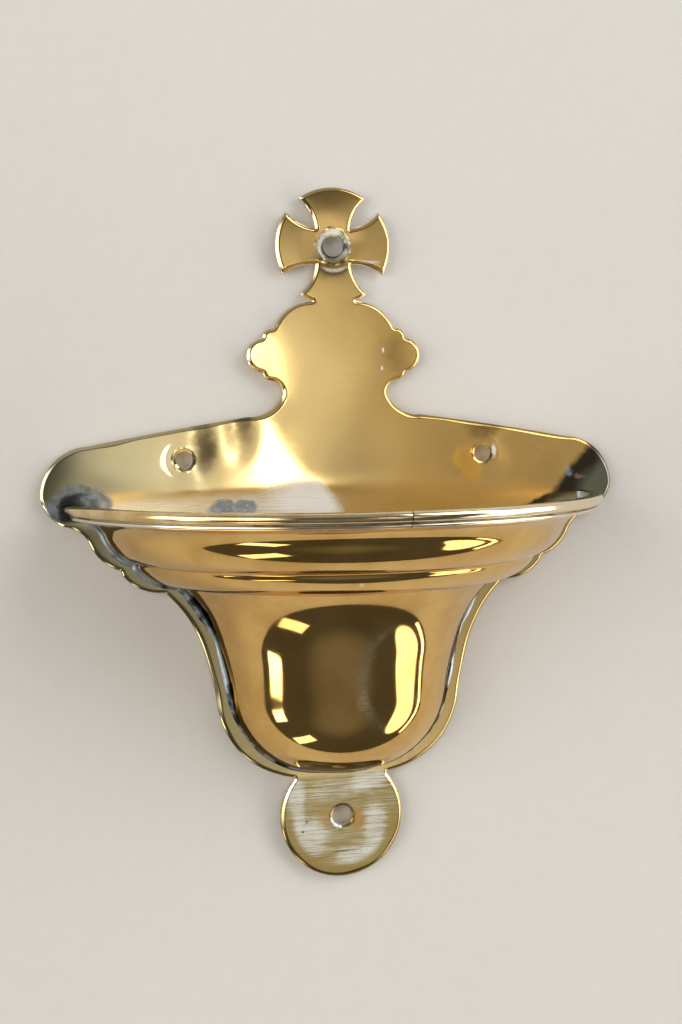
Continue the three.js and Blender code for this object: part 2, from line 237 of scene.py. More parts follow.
# %% Distances from the edge
def from_edge(points, loop):
    """Distance of each point from a closed line, and whether it lies inside."""
    start, end = loop, np.roll(loop, -1, 0)
    dense = np.concatenate([start + (end - start) * share for share in np.arange(0, 1, 1 / 6)])
    tree = kdtree.KDTree(len(dense))
    for k, (x, z) in enumerate(dense):
        tree.insert((x, 0, z), k)
    tree.balance()
    distance = np.array([tree.find((x, 0, z))[2] for x, z in points])
    inside = []
    for block in np.array_split(points, max(1, len(points) // 800)):
        spans = (start[:, 1] > block[:, None, 1]) != (end[:, 1] > block[:, None, 1])
        rise = np.where(start[:, 1] == end[:, 1], 1.0, end[:, 1] - start[:, 1])
        reach = start[:, 0] + (end - start)[:, 0] * (block[:, None, 1] - start[:, 1]) / rise
        inside.append((spans & (block[:, None, 0] < reach)).sum(1) % 2 == 1)
    return distance, np.concatenate(inside)


# %% Fill a face with triangles
def fill_face(loop, edge_rings, hole_rings, grid):
    """Points and triangles over the plate's outline, with its holes left open."""
    inward = -leftward(np.concatenate([loop[-1:], loop, loop[:1]]))[1:-1]
    points, edges = [loop], [(k, (k + 1) % len(loop)) for k in range(len(loop))]
    count = len(loop)
    for x, z, radius, *_ in HOLES:
        points.append(ring(x, z, radius))
        edges += [(count + k, count + (k + 1) % TURN_POINTS) for k in range(TURN_POINTS)]
        count += TURN_POINTS
    for depth in edge_rings:
        moved = loop + inward * depth
        distance, inside = from_edge(moved, loop)
        points.append(moved[inside & (distance > 0.9 * depth)])
    for x, z, radius, *_ in HOLES:
        round_hole = np.concatenate([ring(x, z, radius + reach) for reach in hole_rings])
        distance, inside = from_edge(round_hole, loop)
        points.append(round_hole[inside & (distance > 0.3)])
    if grid:
        rows = np.arange(-110, 88, grid * 0.866)
        places = np.array([(x + (k % 2) * grid / 2, z) for k, z in enumerate(rows) for x in np.arange(-84, 84, grid)])
        distance, inside = from_edge(places, loop)
        keep = inside & (distance > edge_rings[-1] + 0.4 * grid)
        for x, z, radius, *_ in HOLES:
            keep &= np.hypot(places[:, 0] - x, places[:, 1] - z) > radius + hole_rings[-1] + 0.4 * grid
        points.append(places[keep])
    flat = [Vector(point) for point in np.concatenate(points).tolist()]
    found, _, faces, origin, _, _ = geometry.delaunay_2d_cdt(flat, edges, [], 1, 1e-6)
    places = np.array([tuple(point) for point in found])
    middles = np.array([places[list(face)].mean(0) for face in faces])
    keep = np.ones(len(faces), bool)
    for x, z, radius, *_ in HOLES:
        keep &= np.hypot(middles[:, 0] - x, middles[:, 1] - z) > radius
    where = {source: place for place, sources in enumerate(origin) for source in sources}
    borders = [[where[k] for k in range(len(loop))]]
    for hole in range(len(HOLES)):
        first = len(loop) + hole * TURN_POINTS
        borders.append([where[first + k] for k in range(TURN_POINTS)])
    return places, [face for face, kept in zip(faces, keep) if kept], borders


# %% How far each point of the front lies below the flat sheet
DENTS = [(-38.0, 13.5, 3.4, 8.0, 0.11), (-33.2, 18.0, 2.6, 5.5, -0.05), (-28.2, 18.5, 3.8, 6.0, 0.11),
         (-48.6, 8.0, 3.5, 4.0, 0.025), (-41.0, 5.0, 4.5, 3.5, -0.05), (39.5, 11.0, 3.5, 4.5, 0.10),
         (45.5, 18.5, 4.5, 3.0, 0.16), (49.0, 9.0, 4.0, 4.5, 0.10), (68.0, 5.0, 7.0, 6.0, 0.30),
         (-4.5, 70.0, 4.0, 5.0, 0.08), (7.0, 72.0, 3.0, 3.0, 0.03), (0.5, 79.5, 7.0, 4.5, -0.04),
         (-22.0, 38.0, 5.0, 6.0, 0.06), (19.0, 40.0, 4.5, 5.0, 0.12), (-68.0, 2.0, 9.0, 5.0, 0.16)]
# Marks pressed round the holes: hole, radius, depth, middle and half width in degrees
MARKS = [(2, 5.3, 0.014, 185, 60), (0, 7.0, 0.03, 270, 32), (3, 5.0, 0.010, 20, 50)]


def below_flat(x, z, edge):
    filed = FILED * (1 + 0.35 * rough(x, z, 5.5, 9))
    drop = 0.62 * filed * max(1 - edge / filed, 0) ** 1.6 + 0.03 * math.exp(-edge / 3.0)
    drop += 0.05 * rough(x, z, 3.1, 34) + 0.010 * rough(x, z, 7.7, 11)
    drop += 0.35 * max(-x - 62, 0) ** 2 / 400
    for dent_x, dent_z, wide, tall, deep in DENTS:
        drop += deep * math.exp(-((x - dent_x) / wide) ** 2 - ((z - dent_z) / tall) ** 2)
    for hole, (hole_x, hole_z, radius, sink_wide, sink_deep, dimple) in enumerate(HOLES):
        out = math.hypot(x - hole_x, z - hole_z)
        if out > 14:
            continue
        turn = math.atan2(z - hole_z, x - hole_x)
        drop += dimple * math.exp(-((out - radius) / 4.0) ** 2)
        wander = 1 + 0.22 * rough(math.cos(turn), math.sin(turn), hole_x + 4.4, 0.45)
        gap = sink_wide * wander - (out - radius)
        drop += sink_deep / sink_wide * (gap + math.sqrt(gap * gap + 0.02)) / 2
        burr = max(rough(math.cos(turn), math.sin(turn), hole_z + 1.7, 0.35) + 0.15, 0)
        drop -= 0.12 * burr * math.exp(-((out - radius - sink_wide * wander) / 0.35) ** 2)
        for marked, mark_radius, deep, middle, half in MARKS:
            if marked == hole:
                off = (math.degrees(turn) - middle + 180) % 360 - 180
                drop += deep * math.exp(-((out - mark_radius) / 0.45) ** 2 - (off / half) ** 4)
    return drop


# %% Build the backplate
EDGE_RINGS = (0.10, 0.22, 0.36, 0.50, 0.64, 0.78, 0.92, 1.06, 1.22, 1.5, 2.0)
HOLE_RINGS = (0.1, 0.25, 0.45, 0.65, 0.85, 1.1, 1.4, 1.7, 2.0, 2.3, 2.6, 2.9, 3.2, 3.6, 4.0, 4.4, 5.0)
front, front_faces, front_borders = fill_face(outline, EDGE_RINGS, HOLE_RINGS, 1.5)
back, back_faces, back_borders = fill_face(outline, (0.08, BACK_ROUND, 0.6), (0.3,), 0)
front_edge, _ = from_edge(front, outline)
back_edge, _ = from_edge(back, outline)

points = []
for (x, z), edge in zip(front, front_edge):
    points.append((x, -max(THICK - below_flat(x, z, edge), BACK_ROUND + 0.3), z))
for (x, z), edge in zip(back, back_edge):
    corner = max(BACK_ROUND - edge, 0)
    points.append((x, -(BACK_ROUND - math.sqrt(max(BACK_ROUND ** 2 - corner ** 2, 0))), z))
faces = list(front_faces)
faces += [[k + len(front) for k in reversed(face)] for face in back_faces]
for ahead_line, behind_line in zip(front_borders, back_borders):
    for k in range(len(ahead_line)):
        n = (k + 1) % len(ahead_line)
        faces.append((ahead_line[k], ahead_line[n], behind_line[n] + len(front), behind_line[k] + len(front)))
backplate = add_piece("brass_backplate", points, faces, "backplate")

# %% [markdown]
# ## The spun bowl
# A spinner presses a brass disc over a turning chuck, which gives one smooth skin inside and out. A screw or spin
# modifier would turn the profile, but this bowl was cut a little in front of its axis, so every turn meets the
# plate at its own angle. Each row of points therefore runs from plate to plate at its own radius, and the lowest
# row closes to a single point.

# %% Inside of the bowl, and rows from plate to plate
COLUMNS, INNER_ROWS, OUTER_ROWS = 168, 150, 260
LIP_EASE, CUT_CLEAR = 0.3, 0.03


def half_turns(profile, columns=COLUMNS):
    """Rows of points, one for each point of a profile, each spread from plate to plate."""
    share = np.linspace(-1, 1, columns + 1)
    reach = np.arccos(np.clip(SETBACK / profile[:, 0], -1, 1))[:, None] * share
    radius = profile[:, :1]
    height = np.broadcast_to(profile[:, 1:], reach.shape)
    return np.stack([radius * np.sin(reach), AXIS - radius * np.cos(reach), height], 2)


coarse = arc_line(PROFILE, 1.6)
spun_inside = softened(evenly(coarse - leftward(softened(coarse, 1)) * WALL, 900), 14)
spun_inside = spun_inside[(spun_inside[:, 1] < -LIP_EASE) & (spun_inside[:, 0] > SETBACK + CUT_CLEAR)]
lip_round = arc_line([(spun_inside[0, 0], -LIP_EASE, 0), (spun_inside[0, 0] + LIP_EASE, 0, 0.12),
                      (LIP - LIP_EASE, 0, 0), (LIP, -LIP_EASE, 0.12)], FINE_STEP)
shell = spun_outside[(spun_outside[:, 1] < -LIP_EASE) & (spun_outside[:, 0] > SETBACK + CUT_CLEAR)]
section = np.concatenate([evenly(spun_inside, INNER_ROWS)[::-1], lip_round, evenly(shell, OUTER_ROWS)])
print("bowl section of", len(section), "points")

# %% Build the bowl
grid = half_turns(section)
rows, columns = grid.shape[:2]
points = grid.reshape(-1, 3).tolist()
faces = [(r * columns + c, r * columns + c + 1, (r + 1) * columns + c + 1, (r + 1) * columns + c)
         for r in range(rows - 1) for c in range(columns - 1)]
ends = len(points)
points += [(0, FRONT, section[0, 1]), (0, FRONT, section[-1, 1])]
faces += [(ends, c + 1, c) for c in range(columns - 1)]
faces += [(ends + 1, (rows - 1) * columns + c, (rows - 1) * columns + c + 1) for c in range(columns - 1)]
cut_face = [ends] + [r * columns for r in range(rows)] + [ends + 1]
faces += [cut_face, [ends + 1] + [r * columns + columns - 1 for r in reversed(range(rows))] + [ends]]
inner_points = INNER_ROWS * columns
bowl = add_piece("brass_half_bowl", points, [face[::-1] for face in faces], "half_bowl")

# %% [markdown]
# ## The rim moulding
# A drawn strip with a fat bead and a thin reed below it is bent round the rim and soldered on. Its two lengths
# butt close to the middle of the front, where a fine dark line shows. A curve with a bevel object would sweep it;
# rows of points again let each row run to the plate exactly.

# %% Moulding section
SEAT = LIP + 0.02
BUTT, BUTT_GAP = math.radians(2.2), 0.16
bead_section = arc_line([(SEAT, -4.1, 0), (SEAT + 0.9, -4.1, 0), (SEAT + 0.9, -3.1, -0.5), (SEAT + 0.75, -2.95, 0),
                         (SEAT + 1.38, -2.72, 0), (SEAT + 1.38, 0, -1.36), (SEAT, 0, 0)], 0.08)
TOOL_LINES, TOOL_DEEP, TOOL_WIDE = (-0.55, -1.1, -1.6, -2.1), 0.09, 0.12
MOULDING_STEPS = 110


def tooled(height, angle):
    """Depth of the lines that a burnisher left along the right end of the bead."""
    share = min(max((angle - 0.35) / 0.35, 0), 1)
    share *= 0.6 + 0.5 * noise.noise(Vector((angle * 14, height, 3.0)))
    return TOOL_DEEP * share * sum(math.exp(-((height - line) / TOOL_WIDE) ** 2) for line in TOOL_LINES)


def build_moulding(name, stands_for, first, last, sink):
    """A length of moulding between two turns about the axis, None for the plate."""
    count, steps = len(bead_section), MOULDING_STEPS
    points, faces = [], []
    for k in range(steps + 1):
        for radius, height in bead_section:
            reach = math.acos(SETBACK / radius)
            start = -reach if first is None else first + BUTT_GAP / radius
            end = reach if last is None else last - BUTT_GAP / radius
            angle = start + (end - start) * k / steps
            ease = 0.0
            if first is not None or last is not None:
                nearness = (k if first is not None else steps - k) / 1.2
                ease = 0.12 * math.exp(-nearness) + sink
            if radius > SEAT + 0.3:
                radius -= ease + tooled(height + 0.12 * math.sin(angle * 9), angle)
            points.append((radius * math.sin(angle), AXIS - radius * math.cos(angle), height))
    for k in range(steps):
        for n in range(count):
            m = (n + 1) % count
            faces.append((k * count + n, k * count + m, (k + 1) * count + m, (k + 1) * count + n))
    faces += [tuple(reversed(range(count))), tuple(range(steps * count, steps * count + count))]
    return add_piece(name, points, [face[::-1] for face in faces], stands_for)


bead_left = build_moulding("rim_moulding_left", "rim_bead_left", None, BUTT, 0.0)
bead_right = build_moulding("rim_moulding_right", "rim_bead_right", BUTT, None, 0.05)

# %% [markdown]
# ## The solder
# Soft solder was run along both sides of the joint by hand, so its width swells and shrinks and it pools in
# corners. A displace modifier could ruffle an even strip; here each station of the strip gets its own two legs
# from noise, one along the plate and one up the bowl, with a hollow face between.

# %% Lay a fillet along the joint
# How much solder lies at each height
POOL_HEIGHTS, POOL_SHARES = (-80, -68, -52, -32, -20, -6), (0.45, 0.55, 1.0, 1.45, 1.2, 0.9)
THIN_LEG, BURIED = 0.3, 0.25


def build_fillet(name, stands_for, profile, outward, legs, seed):
    half = profile[profile[:, 0] > SETBACK + 0.02]
    right_side = np.stack([width_at_plate(half[:, 0]), half[:, 1]], 1)
    radius = np.concatenate([half[:, 0], [SETBACK], half[::-1, 0]])
    line = np.concatenate([right_side * (-1, 1), [(0, half[-1, 1])], right_side[::-1]])
    away = softened(-leftward(line) * outward, 6)
    away /= np.hypot(*away.T)[:, None]
    run = np.concatenate([[0], np.cumsum(np.hypot(*np.diff(line, axis=0).T))])
    points, faces, count = [], [], 8
    for corner, side, turn, length in zip(line, away, radius, run):
        swell = noise.noise(Vector((length / 9.0, seed, 0.3))) + 0.25 * noise.noise(Vector((length / 2.6, seed, 8.1)))
        much = np.interp(corner[1], POOL_HEIGHTS, POOL_SHARES)
        plate_leg = max(legs[0] * much * (1 + 0.8 * swell), THIN_LEG)
        wall_leg = max(legs[1] * much * (1 + 0.5 * swell), THIN_LEG)
        wide = float(width_at_plate(turn))
        climb = math.sqrt(max(turn ** 2 - (SETBACK + wall_leg) ** 2, 0)) - wide
        wall = np.array((corner[0] + math.copysign(climb if wide > 3 else 0, corner[0]), FRONT - wall_leg, corner[1]))
        foot = np.array((corner[0] + side[0] * plate_leg, FRONT - 0.02, corner[1] + side[1] * plate_leg))
        root = np.array((corner[0], FRONT, corner[1]))
        pull = root * 0.55 + (foot + wall) * 0.225
        for share in np.linspace(0, 1, count - 2):
            points.append(foot * (1 - share) ** 2 + pull * 2 * share * (1 - share) + wall * share ** 2)
        inner = np.array((side[0], 0, side[1])) * -BURIED
        points += [wall + inner, root + inner]
    for k in range(len(line) - 1):
        for n in range(count):
            m = (n + 1) % count
            faces.append((k * count + n, k * count + m, (k + 1) * count + m, (k + 1) * count + n))
    last = (len(line) - 1) * count
    faces += [tuple(reversed(range(count))), tuple(range(last, last + count))]
    if outward > 0:
        faces = [face[::-1] for face in faces]
    return add_piece(name, points, faces, stands_for)


under_lip = evenly(spun_outside[spun_outside[:, 1] < -5.2], 240)
fillet_outside = build_fillet("solder_outside", "solder_seam_outside", under_lip, 1, (0.95, 1.0), 2.2)
fillet_inside = build_fillet("solder_inside", "solder_seam_inside", evenly(spun_inside, 220), -1, (1.0, 1.1), 5.9)

# %% [markdown]
# ## Shader maths as Python
# A finish is a web of shader nodes. Wiring it by hand hides the idea, so a small class wraps a node's output and
# lets sums be written as sums: each operator adds its Math node. Every other node comes from one method that
# takes the node's type, its settings and what goes into its sockets.

# %% Wire and Finish
class Wire:
    """An output of a shader node that can be used in sums."""

    def __init__(self, tree, socket):
        self.tree, self.socket = tree, socket

    def sum(self, operation, *values):
        node = self.tree.nodes.new("ShaderNodeMath")
        node.operation = operation
        for place, value in enumerate(values):
            if isinstance(value, Wire):
                self.tree.links.new(value.socket, node.inputs[place])
            else:
                node.inputs[place].default_value = value
        return Wire(self.tree, node.outputs[0])

    def __add__(self, other):
        return self.sum("ADD", self, other)

    def __radd__(self, other):
        return self.sum("ADD", other, self)

    def __sub__(self, other):
        return self.sum("SUBTRACT", self, other)

    def __rsub__(self, other):
        return self.sum("SUBTRACT", other, self)

    def __mul__(self, other):
        return self.sum("MULTIPLY", self, other)

    def __rmul__(self, other):
        return self.sum("MULTIPLY", other, self)

    def __truediv__(self, other):
        return self.sum("DIVIDE", self, other)


class Finish:
    """A node tree to paint with."""

    def __init__(self, tree):
        self.tree = tree
        tree.nodes.clear()

    def node(self, kind, settings=None, sockets=None, out=0):
        node = self.tree.nodes.new(kind)
        for key, value in (settings or {}).items():
            setattr(node, key, value)
        for key, value in (sockets or {}).items():
            if isinstance(value, Wire):
                self.tree.links.new(value.socket, node.inputs[key])
            else:
                node.inputs[key].default_value = value
        return Wire(self.tree, node.outputs[out]) if node.outputs else None

    def place(self):
        """Where a point of the piece lies, in millimetres."""
        spot = self.node("ShaderNodeTexCoord", out="Object")
        return self.node("ShaderNodeVectorMath", {"operation": "SCALE"}, {0: spot, "Scale": 1000.0})

    def parts(self, vector):
        return [self.node("ShaderNodeSeparateXYZ", None, {0: vector}, out=k) for k in range(3)]

    def stretched(self, vector, along, turn=(0, 0, 0)):
        return self.node("ShaderNodeMapping", None, {"Vector": vector, "Scale": along, "Rotation": turn})

    def grain(self, vector, size, detail=3.0, soft=0.5):
        """Noise around 0.5 whose grains are about size millimetres."""
        return self.node("ShaderNodeTexNoise", {"normalize": True},
                         {"Vector": vector, "Scale": 1 / size, "Detail": detail, "Roughness": soft})

    def between(self, value, low, high, start=0.0, end=1.0):
        """A soft step from start to end while value goes from low to high."""
        return self.node("ShaderNodeMapRange", {"interpolation_type": "SMOOTHSTEP"},
                         {0: value, 1: low, 2: high, 3: start, 4: end})

    def wandering(self, vector, size, reach):
        """The same place pushed about by noise, so that a stain painted there gets a ragged edge."""
        push = self.node("ShaderNodeTexNoise", None,
                         {"Vector": vector, "Scale": 1 / size, "Detail": 3.0}, out="Color")
        push = self.node("ShaderNodeVectorMath", {"operation": "SUBTRACT"}, {0: push, 1: (0.5, 0.5, 0.5)})
        return self.node("ShaderNodeVectorMath", {"operation": "MULTIPLY_ADD"}, {0: push, 1: (reach,) * 3, 2: vector})

    def colour(self, share, first, second):
        return self.node("ShaderNodeMix", {"data_type": "RGBA"}, {0: share, 6: first, 7: second}, out=2)

    def far(self, vector, middle, size):
        """Distance from the middle of an oval, 1 on its edge; a size of 0 leaves that direction free."""
        moved = self.node("ShaderNodeVectorMath", {"operation": "SUBTRACT"}, {0: vector, 1: middle})
        inverse = tuple(1 / s if s else 0.0 for s in size)
        scaled = self.node("ShaderNodeVectorMath", {"operation": "MULTIPLY"}, {0: moved, 1: inverse})
        return self.node("ShaderNodeVectorMath", {"operation": "LENGTH"}, {0: scaled}, out="Value")

    def spot(self, vector, across, up, wide, tall):
        """1 in the middle of a soft oval patch on the plate, 0 outside it."""
        return self.between(self.far(vector, (across, 0, up), (wide, 0, tall)), 0.3, 1.0, 1.0, 0.0)

    def metal(self, colour, share, haze, height):
        """Ends the web in a metal, or in part of one, with a bump given in millimetres."""
        bump = self.node("ShaderNodeBump", None, {"Height": height, "Distance": MM, "Strength": 1.0})
        skin = self.node("ShaderNodeBsdfPrincipled", None,
                         {"Base Color": colour, "Metallic": share, "Roughness": haze, "Normal": bump})
        self.node("ShaderNodeOutputMaterial", None, {"Surface": skin})


def new_finish(name, *pieces):
    material = bpy.data.materials.new(name)
    material.use_nodes = True
    for piece in pieces:
        piece.data.materials.append(material)
    return Finish(material.node_tree)


# %% [markdown]
# ## Stains and painted light on the backplate
# The plate is yellow brass, rubbed with polish by hand for years, and it carries the marks of its life: solder has
# smeared and pooled over the left of the rim, soot has blackened the right corner, and the tab below was rubbed
# sideways with something coarse. Other layers are painted light: a pale band over the rim line, partly a line left
# by standing water and partly where the plate mirrors the lit inside of the bowl, the white flare carried down over
# the rim, highlights on edges, burrs and marks, dark reflections on the left wing, and painted shade along the
# border and round the cross hole. An image could be painted; here each layer has a mask, a colour and a roughness,
# and for the pale band, the flare, the specks and the ring round the cross hole the share of the metal that it
# hides. A layer's place is given in millimetres, and noise makes its edge ragged.

# %% Layers on the tab
BLACK = (0.022, 0.021, 0.020, 1)
GREY = (0.42, 0.49, 0.56, 1)
SILVERY = (0.97, 0.97, 0.90, 1)


def tab_layers(f, spot):
    _, _, z = f.parts(spot)
    tab = f.between(z, -77.0, -81.0)
    out = f.far(spot, (0, 0, TAB_UP), (1, 0, 1))
    streaks = f.grain(f.stretched(spot, (0.10, 1.0, 3.2), (0, 0.04, 0)), 1.0, 5.0, 0.7)
    ragged = f.wandering(spot, 2.6, 2.6)
    # Silvery rubbed patches on the tab, and at its upper left a painted highlight where the edge catches the light
    silvery_and_highlight = f.spot(ragged, -13.5, -86.5, 4.0, 11.0) + f.spot(ragged, -9.5, -97.0, 8.5, 8.5)
    silvery_and_highlight = silvery_and_highlight + f.spot(ragged, 9.6, -95.0, 5.5, 11.0) + f.spot(ragged, 4.0, -103.5, 9.0, 5.0)
    silvery_and_highlight = silvery_and_highlight + f.spot(ragged, 8.5, -81.0, 9.0, 6.5) + 0.7 * f.spot(ragged, -2.0, -84.0, 12.0, 4.5)
    silvery_and_highlight = tab * f.between(0.62 * silvery_and_highlight + 2.0 * (streaks - 0.5), 0.08, 0.95)
    margin = tab * f.between(out, 13.0, 15.4) * f.between(z, -86.0, -95.0)
    halo = f.spot(ragged, 4.6, TAB_UP - 1.0, 3.4, 4.6) + 0.6 * f.spot(ragged, -4.8, TAB_UP + 0.5, 4.6, 3.6)
    # Painted highlight: a near-white glint on the burr at the lower left of the tab hole
    burr = f.between(out, 4.0, 3.5) * f.spot(ragged, -2.4, TAB_UP - 2.6, 3.2, 3.2)
    pits = 0.6 * f.spot(spot, -11.6, -95.5, 0.6, 0.5) + 0.6 * f.spot(spot, -10.4, -92.7, 0.4, 0.7)
    crack = f.spot(f.wandering(spot, 1.0, 1.2), 1.0, -101.8, 5.4, 0.26) * f.between(streaks, 0.35, 0.55)
    khaki = f.colour(f.between(streaks, 0.32, 0.68), (0.30, 0.23, 0.09, 1), (0.64, 0.55, 0.31, 1))
    return [(tab * 0.92, khaki, 0.20 + 0.16 * streaks), (silvery_and_highlight, SILVERY, 0.27),
            (margin * 0.9, (0.34, 0.25, 0.085, 1), 0.18), (halo * tab * 0.75, (0.60, 0.34, 0.11, 1), 0.26),
            (burr, (0.98, 0.95, 0.88, 1), 0.32), (pits + crack, (0.07, 0.055, 0.035, 1), 0.5)]


# %% Layers over the rim
def rim_layers(f, spot, fine):
    x, _, z = f.parts(spot)
    ragged = f.wandering(spot, 4.0, 3.0)
    streaks = f.grain(f.stretched(spot, (0.06, 1.0, 2.4)), 1.4, 4.0, 0.6)
    out = f.far(ragged, (-72.5, 0, -1.8), (9.2, 0, 7.4))
    above_lip = f.between(z, -5.6, -4.4)
    smear = f.between(out, 1.05, 0.88) * above_lip
    sooty = f.between(out, 0.74, 0.54) * above_lip
    lens = f.spot(ragged, -69.3, 0.9, 5.0, 2.0)
    pools = f.spot(ragged, -32.8, -2.2, 5.2, 3.2) + f.spot(ragged, -26.4, -2.4, 4.2, 3.0)
    pools = f.between(pools * f.between(fine, 0.25, 0.58), 0.06, 0.52)
    # The pale band over the rim line is partly a line left by standing water and partly painted light, whitening the
    # strip where the plate mirrors the lit inside of the bowl
    water = f.between(z, 3.4, -1.6) * f.between(x, -72.0, -62.0) * f.between(x, 4.0, -6.0)
    water = water * f.between(x, -40.0, -22.0, 0.6, 1.0) * f.between(streaks, 0.22, 0.56) * above_lip
    # Painted reflection: the white flare carried down to the rim line, where the bowl hides the room, with the same
    # slanting right edge as the flare above
    painted_flare = f.spot(ragged, -7.0, -1.0, 18.0, 11.0) * f.between(z, 6.4, 3.4) * above_lip
    painted_flare = painted_flare * f.between(x + 0.76 * z, 0.8, -3.4)
    grey = f.colour(f.between(fine, 0.36, 0.64), (0.22, 0.25, 0.28, 1), GREY)
    lead = f.colour(f.between(fine, 0.40, 0.66), (0.20, 0.26, 0.35, 1), (0.52, 0.60, 0.71, 1))
    # Painted dark reflection: the bent-back tip of the left wing is painted a dark grey-green
    painted_dark_tip = f.between(f.far(ragged, (-84.0, 0, 6.0), (17.0, 0, 16.0)), 0.2, 1.0, 1.0, 0.0)
    return [(painted_dark_tip * 0.55, (0.30, 0.30, 0.17, 1), 0.16), (water * 0.85, (0.93, 0.90, 0.84, 1), 0.26, 0.6),
            (painted_flare * 0.85, (1.0, 0.97, 0.92, 1), 0.25, 0.85), (smear * 0.85, grey, 0.32),
            (sooty * 0.88, BLACK, 0.22), (lens * 0.8, grey, 0.30), (pools * 0.85, lead, 0.36)]


# %% Layers along the border and round the side holes
def wear_and_painted_light_layers(f, spot, fine):
    _, _, z = f.parts(spot)
    ragged = f.wandering(spot, 3.0, 4.2)
    across, _, _ = f.parts(f.wandering(spot, 6.0, 4.0))
    # Painted shade: the strip of border beside the bowl is painted a dull dark brown
    painted_border_shade = f.between(z, -4.6, -8.0) * f.between(z, -80.0, -77.0)
    dull = f.colour(f.between(fine + 0.012 * across, 0.1, 0.9), (0.20, 0.19, 0.11, 1), (0.50, 0.38, 0.17, 1))
    # Painted dark reflection: two dark bands on the left wing, where the bent sheet mirrors something dark
    painted_dark_bands = f.between(f.far(ragged, (-37.6, 0, 14.5), (5.0, 0, 10.5)), 0.2, 1.0, 1.0, 0.0)
    painted_dark_bands = painted_dark_bands + f.between(f.far(ragged, (-26.4, 0, 22.0), (5.4, 0, 13.0)), 0.1, 1.0, 1.0, 0.0)
    orange = f.spot(ragged, 37.6, 10.4, 5.0, 5.0) + f.spot(ragged, 40.0, 6.2, 4.0, 4.6)
    orange = f.between(orange, 0.0, 0.8)
    smudge = f.between(f.far(ragged, (44.5, 0, 19.2), (9.0, 0, 6.0)), 0.0, 1.0, 1.0, 0.0)
    ear = f.spot(ragged, 19.0, 40.5, 6.0, 9.0)
    specks_and_glint = f.spot(spot, 14.0, 41.2, 0.5, 1.1) + f.spot(spot, 13.6, 36.1, 0.5, 1.0)
    # A painted glint: a soft white spot to the right of the right-hand side hole; the two specks on the ear above are
    # marks
    specks_and_glint = specks_and_glint + f.spot(f.wandering(spot, 1.5, 1.2), 46.7, 12.2, 1.1, 2.6)
    return [(painted_border_shade * 0.75, dull, 0.17), (painted_dark_bands * 0.9, (0.17, 0.12, 0.05, 1), 0.19),
            (orange * 0.85, (0.92, 0.50, 0.10, 1), 0.14), (smudge * 0.85, (0.22, 0.14, 0.05, 1), 0.26),
            (ear * 0.65, (0.42, 0.27, 0.08, 1), 0.20), (specks_and_glint, (0.96, 0.93, 0.84, 1), 0.3, 0.5)]


# %% Layers round the hole in the cross
def cross_layers(f, spot, fine):
    _, _, z = f.parts(spot)
    middle = (0, 0, CROSS_UP)
    ragged = f.wandering(spot, 3.0, 4.2)
    out = f.far(spot, middle, (1, 0, 1))
    # Painted highlight: the raised burr ring round the cross hole is painted near white, least at the bottom
    painted_ring_highlight = f.between(f.far(f.wandering(spot, 1.8, 1.4), middle, (1, 0, 1)), 5.4, 4.2)
    painted_ring_highlight = painted_ring_highlight * f.between(z, CROSS_UP - 4.6, CROSS_UP - 1.6, 0.2, 1.0) * f.between(fine, 0.30, 0.52, 0.45, 1.0)
    # Painted highlights: a white crescent below the hole, on the ring pressed round it, and a white streak along the
    # lower part of the right arm
    crescent_and_streak_highlights = f.between(out, 6.3, 6.8) * f.between(out, 7.7, 7.1)
    crescent_and_streak_highlights = crescent_and_streak_highlights * f.spot(spot, 0.4, CROSS_UP - 7.0, 5.0, 3.0) + f.spot(spot, 10.6, 65.9, 3.8, 0.6)
    # Dark tarnish to the lower left of the hole, and painted shade in a ring at the hole's inner edge and in a spot
    # to its right
    socket = f.between(out, 4.2, 3.5) * f.spot(ragged, -2.0, CROSS_UP - 2.2, 4.0, 3.6)
    socket = socket + f.between(out, 3.5, 3.2) * f.between(fine, 0.30, 0.55, 0.2, 0.9)
    socket = socket + f.spot(ragged, 3.6, CROSS_UP + 0.2, 1.3, 1.8)
    return [(painted_ring_highlight * 0.9, (0.99, 0.96, 0.84, 1), 0.22, 0.45), (crescent_and_streak_highlights * 0.9, (0.97, 0.94, 0.84, 1), 0.26),
            (socket * 0.85, (0.05, 0.07, 0.065, 1), 0.3)]


# %% Layers at the right corner
def corner_layers(f, spot, fine):
    _, _, z = f.parts(spot)
    ragged = f.wandering(spot, 3.0, 4.2)
    across, _, up = f.parts(f.wandering(spot, 6.0, 4.0))
    over = f.node("ShaderNodeMath", {"operation": "MAXIMUM"}, {0: up, 1: 0.0})
    under = f.node("ShaderNodeMath", {"operation": "MINIMUM"}, {0: up, 1: 0.0})
    inward = across - (64.9 + 0.8 * over + 2.2 * under)
    black = f.between(inward + 3.0 * (fine - 0.5), -1.6, 2.0) * f.between(z, -5.6, -4.2)
    soot = f.colour(f.between(inward, 4.0, 10.0), BLACK, (0.17, 0.18, 0.13, 1))
    # Painted highlight: a bluish-grey glint within the black corner
    pale = f.spot(ragged, 69.6, 5.4, 2.0, 2.0)
    pink = f.spot(ragged, 73.0, 4.2, 2.4, 1.2)
    return [(black * 0.96, soot, 0.13 + 0.12 * fine), (pale * 0.6, GREY, 0.3),
            (pink * 0.6, (0.42, 0.24, 0.19, 1), 0.3)]


